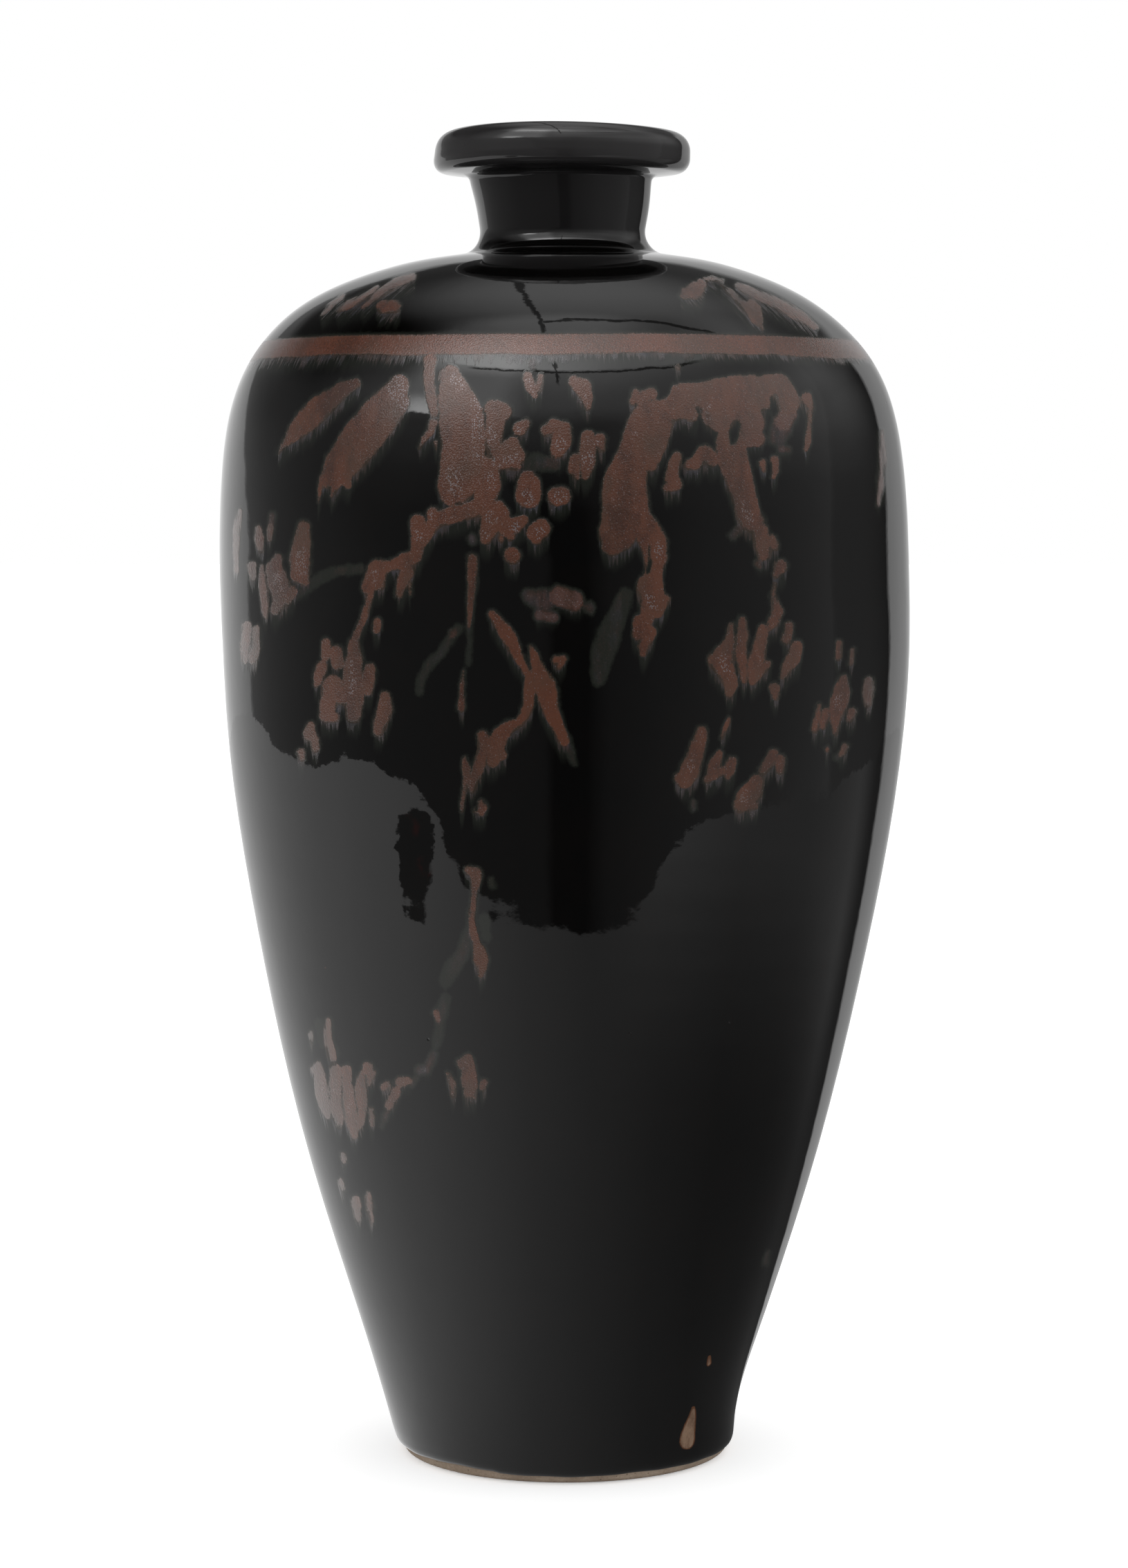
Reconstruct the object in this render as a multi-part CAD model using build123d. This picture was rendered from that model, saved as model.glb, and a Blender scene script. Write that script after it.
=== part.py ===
from build123d import *
import os
from math import copysign

os.makedirs("parts", exist_ok=True)

# Outline of the glazed pot. The origin is on the axis, level with the foot.
height = 441.0
belly_radius = 114.2
belly_height_share = 0.68

# Stations of the wall, as shares of the spread to the belly and of the rise
lower_wall_shares = [(0.046, 0.041), (0.154, 0.110), (0.485, 0.315), (0.785, 0.572), (0.962, 0.795)]
upper_wall_shares = [(0.980, 0.302), (0.898, 0.584), (0.687, 0.796), (0.421, 0.916), (0.185, 0.972)]

# Neck, which stands on the nearly flat shelf of the shoulder
neck_foot_radius = 26.2
neck_flare = 4.1
neck_rise = 24.4
neck_wall = 6.2
shelf_width = 13.8
shelf_rise = 2.3
shelf_round = 8.0
throat_round = 12.0

# Flange lip
lip_radius = 42.6
lip_lean = 0.8
lip_edge_thickness = 12.2
lip_root_thickness = 15.0
lip_top_round_share = 0.56
lip_edge_round_share = 0.32
under_lip_round = 2.2
mouth_round = 8.0

# Foot ring, turned on the wheel
foot_radius = 57.7
foot_lean = 1.3
foot_edge_height = 8.0
foot_round = 2.6
ring_width = 12.1
ring_taper = 2.0
ring_inner_round = 1.2
recess_depth = 6.0
recess_round = 2.5

# Floor and wall, each with its glaze, and the bowl between them
floor_thickness = 10.0
foot_wall = 9.0
shoulder_wall = 6.6
bowl_round = 24.0

# Share of the wall's length above which the inside follows the wall, and stations along the wall
bowl_end_share = 0.09
wall_stations = 24

# Glaze coats. The outer one stops short of the foot.
outer_glaze_thickness = 0.8
inner_glaze_thickness = 0.6
bare_foot_height = 3.8

# Iron band round the shoulder, sunk flush in the glaze
band_drop = 27.6
band_rise = 6.7
band_depth = 0.35

# Luting seams: stepped laps with a coat of slip between their faces
lower_seam_share = 0.36
upper_seam_share = 0.67
seam_step = 4.0
slip_thickness = 0.8


# The outline is followed with the clay on its left, so every inset goes to the left.
def left_of(direction):
    return Vector(-direction.Y, direction.X)


def between(low, high, share):
    return low + (high - low) * share


# A rounded line through corners, moved into the clay by a depth. Corners that stand out lose that depth.
def rounded_line(corners, rounds, depth):
    corners = [Vector(*corner) for corner in corners]
    ways = [(after - before).normalized() for before, after in zip(corners, corners[1:])]
    moved = [corners[0] + left_of(ways[0]) * depth]
    moved_rounds = []
    for corner, before, after, radius in zip(corners[1:], ways, ways[1:], rounds):
        sides = left_of(before) + left_of(after)
        moved.append(corner + sides * (depth / (1 + before.dot(after))))
        moved_rounds.append(radius - copysign(depth, before.cross(after).Z))
    moved.append(corners[-1] + left_of(ways[-1]) * depth)
    return FilletPolyline(*moved, radius=moved_rounds)


# Points that several outlines share, as radius and height
wall_foot = Vector(foot_radius, foot_edge_height)
foot_side = Vector(foot_lean, foot_edge_height).normalized()
clay_wall_foot = wall_foot + left_of(foot_side) * outer_glaze_thickness
clay_foot_corner = clay_wall_foot - foot_side * (clay_wall_foot.Y / foot_side.Y)
neck_top = Vector(neck_foot_radius + neck_flare, height - lip_root_thickness)
neck_foot = Vector(neck_foot_radius, neck_top.Y - neck_rise)
wall_root = Vector(neck_foot_radius + shelf_width, neck_foot.Y - shelf_rise)
belly_height = height * belly_height_share
throat_radius = neck_foot_radius - neck_wall
reach = height + belly_radius

# The crest of the lip, midway between its two rounds
lip_top_radius = lip_radius - lip_lean
lip_top_round = lip_edge_thickness * lip_top_round_share
crest = Vector((throat_radius + mouth_round + lip_top_radius - lip_top_round) / 2, height)

lower_stations = [
    (between(foot_radius, belly_radius, out), between(foot_edge_height, belly_height, up))
    for out, up in lower_wall_shares
]
upper_stations = [
    (between(wall_root.X, belly_radius, out), between(belly_height, wall_root.Y, up))
    for out, up in upper_wall_shares
]
glazed_wall = Spline(
    wall_foot, *lower_stations, (belly_radius, belly_height), *upper_stations, wall_root,
    tangents=[foot_side, neck_foot - wall_root],
)


# The wall's outline at one depth under the glaze
def wall_line(depth):
    shares = [step / wall_stations for step in range(wall_stations + 1)]
    points = [glazed_wall @ share + left_of(glazed_wall % share) * depth for share in shares]
    return Spline(*points, tangents=[glazed_wall % 0, glazed_wall % 1])


# Neck and lip from the shelf to the crest, at one depth under the glaze
def collar_line(depth):
    corners = [
        wall_root,
        neck_foot,
        neck_top,
        (lip_radius, height - lip_edge_thickness),
        (lip_top_radius, height),
        crest,
    ]
    lip_edge_round = lip_edge_thickness * lip_edge_round_share
    return rounded_line(corners, [shelf_round, under_lip_round, lip_edge_round, lip_top_round], depth)


# The finished wall thins evenly from foot to shelf.
def wall_thickness(share):
    return between(foot_wall, shoulder_wall, share)


def inner_point(share, depth):
    return glazed_wall @ share + left_of(glazed_wall % share) * (wall_thickness(share) - depth)


# Mouth and throat from the crest down to the underside of the shelf
def throat_line(depth):
    shelf_end = inner_point(1, 0)
    slope = glazed_wall % 1
    throat_foot = shelf_end + slope * ((throat_radius - shelf_end.X) / slope.X)
    corners = [crest, (throat_radius, height), throat_foot, shelf_end]
    return rounded_line(corners, [mouth_round, throat_round], depth)


# The inside from the shelf down the wall and over the bowl of the floor to the axis
def inside_lines(depth):
    shares = [between(1, bowl_end_share, step / wall_stations) for step in range(wall_stations + 1)]
    points = [inner_point(share, depth) for share in shares]
    wall_end = inner_point(bowl_end_share, 0)
    slope = glazed_wall % bowl_end_share
    floor_height = recess_depth + floor_thickness
    floor_corner = wall_end - slope * ((wall_end.Y - floor_height) / slope.Y)
    bowl = rounded_line([wall_end, floor_corner, (0, floor_height)], [bowl_round], depth)
    return [Spline(*points, tangents=[-(glazed_wall % 1), -slope]), bowl]


# A face in section from the lines round it
def section_of(lines):
    return make_face([edge for line in lines for edge in line.edges()])


# A coat in section, between its surface and what it covers
def coat_between(surface, covered):
    ends = [Line(surface[0] @ 0, covered[0] @ 0), Line(surface[-1] @ 1, covered[-1] @ 1)]
    return section_of([*surface, *covered, *ends])


# All the clay in section, from the recess under the foot to the lip and back down the inside
def clay_section():
    ring_inner_radius = clay_foot_corner.X - ring_width
    underside = [
        (0, recess_depth),
        (ring_inner_radius - ring_taper, recess_depth),
        (ring_inner_radius, 0),
        clay_foot_corner,
        clay_wall_foot,
    ]
    foot = rounded_line(underside, [recess_round, ring_inner_round, foot_round], 0)
    outside = [foot, wall_line(outer_glaze_thickness), collar_line(outer_glaze_thickness)]
    inside = [throat_line(inner_glaze_thickness), *inside_lines(inner_glaze_thickness)]
    lip_seam = Line(outside[-1] @ 1, inside[0] @ 0)
    axis = Line(inside[-1] @ 1, foot @ 0)
    return section_of([*outside, lip_seam, *inside, axis])


# The space under a stepped lap, whose inner half stands higher
def under_lap(middle, slip):
    radius = middle.X + slip
    level = middle.Y + slip
    return make_face(Polyline(
        (0, -reach), (reach, -reach), (reach, level),
        (radius, level), (radius, level + seam_step), (0, level + seam_step),
        close=True,
    ))


def wall_middle(share):
    return glazed_wall @ share + left_of(glazed_wall % share) * (wall_thickness(share) / 2)


clay = clay_section()
lower_seam = wall_middle(lower_seam_share)
upper_seam = wall_middle(upper_seam_share)
neck_seam = Vector(neck_foot_radius - neck_wall / 2, neck_foot.Y - slip_thickness / 2)


# A section turned round the axis
def turned(section):
    return revolve(Plane.XZ * section, axis=Axis.Z)


def foot_section():
    return turned(clay & under_lap(lower_seam, 0))


def body_section():
    return turned((clay & under_lap(upper_seam, 0)) - under_lap(lower_seam, slip_thickness))


def shoulder_section():
    return turned((clay & under_lap(neck_seam, 0)) - under_lap(upper_seam, slip_thickness))


def neck():
    return turned(clay - under_lap(neck_seam, slip_thickness))


def luting_seam(middle):
    return turned((clay & under_lap(middle, slip_thickness)) - under_lap(middle, 0))


# The ring of iron pigment in section, cut level at both edges
def band_section():
    skin = coat_between([glazed_wall], [wall_line(band_depth)])
    middle_height = wall_root.Y - band_drop - band_rise / 2
    return skin & Pos(0, middle_height) * Rectangle(2 * reach, band_rise)


def shoulder_band():
    return turned(band_section())


def outer_glaze():
    bare = foot_side * ((foot_edge_height - bare_foot_height) / foot_side.Y)
    surface = [Line(wall_foot - bare, wall_foot), glazed_wall, collar_line(0)]
    covered = [
        Line(clay_wall_foot - bare, clay_wall_foot),
        wall_line(outer_glaze_thickness),
        collar_line(outer_glaze_thickness),
    ]
    return turned(coat_between(surface, covered) - band_section())


def inner_glaze():
    surface = [throat_line(0), *inside_lines(0)]
    covered = [throat_line(inner_glaze_thickness), *inside_lines(inner_glaze_thickness)]
    return turned(coat_between(surface, covered))


pieces = {
    "foot_section": foot_section(),
    "lower_luting_seam": luting_seam(lower_seam),
    "body_section": body_section(),
    "upper_luting_seam": luting_seam(upper_seam),
    "shoulder_section": shoulder_section(),
    "neck_luting_seam": luting_seam(neck_seam),
    "neck": neck(),
    "outer_glaze": outer_glaze(),
    "inner_glaze": inner_glaze(),
    "shoulder_band": shoulder_band(),
}
for name, piece in pieces.items():
    export_step(piece, f"parts/{name}.step")
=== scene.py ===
import math

import bpy
import numpy as np
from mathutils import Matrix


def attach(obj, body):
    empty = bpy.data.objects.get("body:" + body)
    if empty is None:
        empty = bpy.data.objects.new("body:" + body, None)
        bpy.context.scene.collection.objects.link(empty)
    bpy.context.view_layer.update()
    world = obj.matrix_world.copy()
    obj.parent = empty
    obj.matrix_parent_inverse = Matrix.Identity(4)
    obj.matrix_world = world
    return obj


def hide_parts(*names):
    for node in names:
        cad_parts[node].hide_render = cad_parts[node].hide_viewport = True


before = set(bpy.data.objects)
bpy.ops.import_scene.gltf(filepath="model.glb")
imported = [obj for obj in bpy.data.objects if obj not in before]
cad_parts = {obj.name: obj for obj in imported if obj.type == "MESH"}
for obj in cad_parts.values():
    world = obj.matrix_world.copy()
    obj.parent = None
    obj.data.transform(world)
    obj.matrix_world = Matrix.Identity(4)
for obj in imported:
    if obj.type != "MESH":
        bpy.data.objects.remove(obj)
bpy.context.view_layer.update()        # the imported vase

mm = 0.001
print("frame loaded")

# Camera

camera = {
    "place": (0.0, -1400.0, 332.7),     # mm, in front of the pot and level with its shoulder
    "pitch": 4.418,                     # degrees down
    "lens": 96.35,
    "sensor": 36.0,
    "picture": (1631, 2268),
}


def addCamera(c):
    bpy.ops.object.select_all(action="DESELECT")
    bpy.ops.object.camera_add(
        location=[v * mm for v in c["place"]],
        rotation=(math.radians(90 - c["pitch"]), 0, 0),
    )
    cam = bpy.context.object
    cam.name = "camera"
    cam.data.lens = c["lens"]
    cam.data.sensor_width = c["sensor"]
    cam.data.clip_start = 0.05
    cam.data.clip_end = 60
    bpy.context.scene.camera = cam


def picturePlace(points, c=camera):  # where points in mm land in the photograph's pixels
    focal = c["lens"] / c["sensor"] * c["picture"][1]
    away = points - np.array(c["place"])
    tilt = math.radians(c["pitch"])
    depth = away[:, 1] * math.cos(tilt) - away[:, 2] * math.sin(tilt)
    rise = away[:, 2] * math.cos(tilt) + away[:, 1] * math.sin(tilt)
    middle = np.array(c["picture"]) / 2
    return middle[0] + focal * away[:, 0] / depth, middle[1] - focal * rise / depth


addCamera(camera)
bpy.context.scene.view_settings.view_transform = "Standard"
print("camera set")

# Outline of the pot, in mm

pot = {
    "wall": [                           # radius, height of the glazed wall from foot to shelf
        (57.7, 8), (60.31, 20), (66.41, 40), (85.08, 100), (102.05, 175), (112.07, 240),
        (114.21, 300), (112.76, 330), (105.04, 361.36), (84.49, 384), (61.16, 394.5), (40, 399.3),
    ],
    "footWay": (1.3, 8.0),              # slope at the two ends of the wall
    "shelfWay": (-13.8, 2.3),
    "glazeEdge": 3.8,                   # the glaze stops this far above the table
    "collar": [(26.2, 401.6), (30.3, 426.0), (42.6, 428.8), (41.8, 441.0)],
    "collarRounds": [7.6, 2.2, 3.9, 6.83],
    "crest": (31.48, 441.0),
    "throat": [(20.0, 441.0), (20.0, 395.94)],
    "throatRounds": [8.0, 12.0],
    "wallThickness": (9.0, 6.6),        # at the foot and at the shelf
    "floorHeight": 16.0,
    "bowlRound": 24.0,
    "bowlShare": 0.09,
    "outerGlaze": 0.8,
    "innerGlaze": 0.6,
}


def smoothCurve(marks, values, slopes=None):  # a cubic spline through values, by the slopes at its ends
    marks, values = np.array(marks, float), np.array(values, float)
    gaps, size = np.diff(marks), len(marks)
    table, right = np.zeros((size, size)), np.zeros(size)
    for i in range(1, size - 1):
        table[i, i - 1:i + 2] = 1 / gaps[i - 1], 2 / gaps[i - 1] + 2 / gaps[i], 1 / gaps[i]
        right[i] = 3 * (
            (values[i] - values[i - 1]) / gaps[i - 1] ** 2 + (values[i + 1] - values[i]) / gaps[i] ** 2
        )
    table[0, 0] = table[-1, -1] = 1
    right[0], right[-1] = slopes or (0, 0)
    steep = np.linalg.solve(table, right)

    def at(x):
        x = np.clip(x, marks[0], marks[-1])
        i = np.clip(np.searchsorted(marks, x, side="right") - 1, 0, size - 2)
        s = (x - marks[i]) / gaps[i]
        a, b = values[i], values[i + 1]
        c, d = steep[i] * gaps[i], steep[i + 1] * gaps[i]
        return a + s * (c + s * (3 * (b - a) - 2 * c - d + s * (2 * (a - b) + c + d)))

    return at


def lengthsOf(line):
    return np.concatenate([[0], np.cumsum(np.hypot(*np.diff(line, axis=0).T))])


def wallLine(step=0.25):
    points = np.array(pot["wall"], float)
    marks = lengthsOf(points)
    ways = [np.array(pot[key]) / np.hypot(*pot[key]) for key in ("footWay", "shelfWay")]
    radius = smoothCurve(marks, points[:, 0], (ways[0][0], ways[1][0]))
    height = smoothCurve(marks, points[:, 1], (ways[0][1], ways[1][1]))
    s = np.linspace(0, marks[-1], int(marks[-1] / step))
    return np.column_stack([radius(s), height(s)])


def roundedLine(corners, rounds, step=0.25):  # straight runs joined by arcs
    corners = [np.array(c, float) for c in corners]
    line = [corners[0]]
    for before, corner, after, radius in zip(corners, corners[1:], corners[2:], rounds):
        a = (before - corner) / np.linalg.norm(before - corner)
        b = (after - corner) / np.linalg.norm(after - corner)
        half = math.acos(max(-1, min(1, float(a @ b)))) / 2
        middle = corner + (a + b) / np.linalg.norm(a + b) * radius / math.sin(half)
        first, last = corner + a * radius / math.tan(half), corner + b * radius / math.tan(half)
        start = math.atan2(*(first - middle)[::-1])
        turn = (math.atan2(*(last - middle)[::-1]) - start + math.pi) % (2 * math.pi) - math.pi
        count = max(3, int(abs(turn) * radius / step))
        for k in range(count + 1):
            angle = start + turn * k / count
            line.append(middle + radius * np.array([math.cos(angle), math.sin(angle)]))
    line.append(corners[-1])
    return np.array(line)


def evened(line, step):  # the same line with evenly spaced points
    s = lengthsOf(line)
    keep = np.concatenate([[True], np.diff(s) > 1e-6])
    line, s = line[keep], s[keep]
    marks = np.linspace(0, s[-1], max(2, int(round(s[-1] / step)) + 1))
    return np.column_stack([np.interp(marks, s, line[:, 0]), np.interp(marks, s, line[:, 1])])


def inset(line, depth):  # the line moved to its left, into the clay
    way = np.gradient(line, axis=0)
    way /= np.hypot(*way.T)[:, None]
    return line + np.column_stack([-way[:, 1], way[:, 0]]) * np.reshape(depth, (-1, 1))


wall = wallLine()
collar = roundedLine([wall[-1], *pot["collar"], pot["crest"]], pot["collarRounds"])
footHeight, shelfHeight = pot["wall"][0][1], pot["wall"][-1][1]
glazeFoot = wall[0] - np.array(pot["footWay"]) * (footHeight - pot["glazeEdge"]) / footHeight
outside = evened(np.vstack([glazeFoot, wall, collar[1:]]), 0.2)
outsideLengths = lengthsOf(outside)

wallShare = lengthsOf(wall) / lengthsOf(wall)[-1]
thickness = np.interp(wallShare, (0, 1), pot["wallThickness"])


def insideLine(depth):  # from the crest down the throat and the wall, and over the bowl to the axis
    inner = inset(wall, thickness)[wallShare >= pot["bowlShare"]][::-1]
    throat = roundedLine([pot["crest"], *pot["throat"], inner[0]], pot["throatRounds"])
    way = inner[-1] - inner[-2]
    corner = inner[-1] + way * (pot["floorHeight"] - inner[-1][1]) / way[1]
    bowl = roundedLine([inner[-1], corner, (0, pot["floorHeight"])], [pot["bowlRound"]])
    line = evened(np.vstack([throat, inner[1:], bowl[1:]]), 0.3)
    return inset(line, depth)


def outsideMarks(low, high, step, edge=0.15):  # lengths along the outside, close together at both ends
    s = np.linspace(low, high, max(2, int(round((high - low) / step)) + 1))
    return np.concatenate([[low, low + edge], s[1:-1], [high - edge, high]])


def pointsAt(line, marks):  # a line's points at these lengths along the outside
    return np.column_stack([np.interp(marks, outsideLengths, line[:, i]) for i in (0, 1)])


def lengthAt(height):  # length along the outside at a height of the wall
    rising = outside[:, 1] < shelfHeight
    return float(np.interp(height, outside[rising, 1], outsideLengths[rising]))


rootLength = float(outsideLengths[np.argmin(np.hypot(*(outside - wall[-1]).T))])
crestLength = float(outsideLengths[-1])
print("outline drawn:", len(outside), "points")

# How the pot is out of true

unevenness = {
    "drift": [                          # height, how far the axis leans to the right there
        (0, 0.5), (8, -0.2), (18, -0.9), (40, -0.8), (70, -0.5), (115, -0.3), (160, 0.0), (200, 0.3),
        (242, 0.5), (270, 0.6), (300, 0.0), (316, -0.2), (345, -0.6), (372, -1.15), (382, -1.5),
        (395, -0.8), (401, -0.3), (406, -0.45), (414, -0.4), (420, -0.7), (425, -1.1), (436, -0.4),
        (441, -0.4),
    ],
    "throwing": 0.010,                  # height of the throwing rings
    "throwingPitch": 13.0,
    "oval": 0.25,
    "threeSided": 0.10,
    "rimLift": 0.6,
    "rimRise": 1.0,                     # the rim is higher at the front and back than at the sides
    "rimTurn": 0.25,
    "rimTilt": 0.1,
    "lipHang": 0.8,                     # the lip's under side hangs at its edge
    "shelfSwell": (0.35, 50, 12),       # height, radius and reach: full a little way out from the neck
    "frontSwells": [(0.3, 58, 9), (-0.4, 80, 9)],   # and at the front falls away sooner
    "footTuck": 1.2,                    # the foot draws in at the bottom
}
driftAt = smoothCurve(*zip(*unevenness["drift"]))


def fade(value, start, end):  # from 0 at the start to 1 at the end
    return np.clip((value - start) / (end - start), 0, 1)


def smoothStep(low, high, value):
    share = fade(value, low, high)
    return share * share * (3 - 2 * share)


def hump(value, size, middle, reach):
    return size * np.exp(-((value - middle) / reach) ** 2)


def waves(angle, sizes):  # each with its size, its number round and its start
    return sum(size * np.sin(number * angle + start) for size, number, start in sizes)


def outOfTrue(points, look=unevenness):  # points in mm
    x, y, z = points.T
    radius, angle = np.hypot(x, y), np.arctan2(x, -y)
    rings = np.sin(2 * np.pi * z / look["throwingPitch"] + angle + 1.3 * np.sin(z / 31))
    rings *= look["throwing"] * fade(z, 385, 345) * fade(z, 12, 42)
    oval = look["oval"] * np.cos(2 * angle + z / 90) * np.maximum(fade(z, 430, 370), 0.2)
    oval += look["threeSided"] * np.cos(3 * angle - z / 47 + 1) * fade(z, 430, 370)
    out = (rings + oval * fade(z, 0, 60)) * np.minimum(radius / 100, 1)
    out -= look["footTuck"] * fade(z, 9, 2) ** 1.5 * fade(radius, 46, 52)

    rise = look["rimLift"] - look["rimRise"] * np.sin(angle + look["rimTurn"]) ** 2
    lift = fade(z, 405, 441) ** 2 * radius / 42 * (rise - look["rimTilt"] * np.sin(angle + 0.6))
    swell = hump(radius, *look["shelfSwell"])
    for frontSwell in look["frontSwells"]:
        swell += np.maximum(np.cos(angle), 0) ** 2 * hump(radius, *frontSwell)
    lift += swell * fade(z, 370, 380)
    lift -= look["lipHang"] * fade(radius, 32, 39) * fade(z, 424, 426) * fade(z, 438, 429)
    grown = 1 + out / np.maximum(radius, 1)
    return np.column_stack([x * grown + driftAt(z), y * grown, z + lift])


# Shells turned from a line

def pick(piece):
    bpy.ops.object.select_all(action="DESELECT")
    piece.select_set(True)
    bpy.context.view_layer.objects.active = piece


def mergeDoubles(distance, faceOutwards=False):
    bpy.ops.object.mode_set(mode="EDIT")
    bpy.ops.mesh.select_all(action="SELECT")
    bpy.ops.mesh.remove_doubles(threshold=distance)
    if faceOutwards:
        bpy.ops.mesh.normals_make_consistent(inside=False)
    bpy.ops.mesh.select_all(action="DESELECT")
    bpy.ops.object.mode_set(mode="OBJECT")


def turnedPiece(name, loop, steps):  # a loop of radius and height, turned once round the axis
    bpy.ops.object.select_all(action="DESELECT")
    bpy.ops.curve.primitive_bezier_curve_add(location=(0, 0, 0))
    curve = bpy.context.object
    curve.name = name
    curve.data.splines.clear()
    line = curve.data.splines.new("POLY")
    line.points.add(len(loop) - 1)
    for point, (radius, height) in zip(line.points, loop * mm):
        point.co = (0, radius, height, 1)
    line.use_cyclic_u = bool(loop[0][0] > 0 or loop[-1][0] > 0)
    bpy.ops.object.convert(target="MESH")
    piece = bpy.context.object
    piece.data.name = name
    turn = piece.modifiers.new("turn", "SCREW")
    turn.axis, turn.angle = "Z", 2 * math.pi
    turn.steps = turn.render_steps = steps
    turn.use_merge_vertices = True
    turn.merge_threshold = 1e-6
    bpy.ops.object.modifier_apply(modifier="turn")
    mergeDoubles(1e-6, faceOutwards=True)
    return piece


def vectorsOf(piece, kind):
    vectors = np.empty(len(piece.data.vertices) * 3)
    piece.data.vertices.foreach_get(kind, vectors)
    return vectors.reshape(-1, 3)


def placesOf(piece):
    return vectorsOf(piece, "co") / mm


def setPlaces(piece, places):
    piece.data.vertices.foreach_set("co", (places * mm).ravel())
    piece.data.update()


def setAttribute(piece, name, values, kind="FLOAT"):
    layer = piece.data.attributes.new(name, kind, "POINT")
    key = "vector" if kind == "FLOAT_VECTOR" else "value"
    layer.data.foreach_set(key, np.asarray(values, float).ravel())


def finishPiece(piece, node, material):
    pick(piece)
    piece.data.materials.clear()
    piece.data.materials.append(material)
    bpy.ops.object.shade_smooth_by_angle(angle=math.radians(40))
    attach(piece, "root")
    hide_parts(node)
    print("made", piece.name, len(piece.data.polygons), "faces")


# Brushwork, in the photograph's pixels

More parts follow.
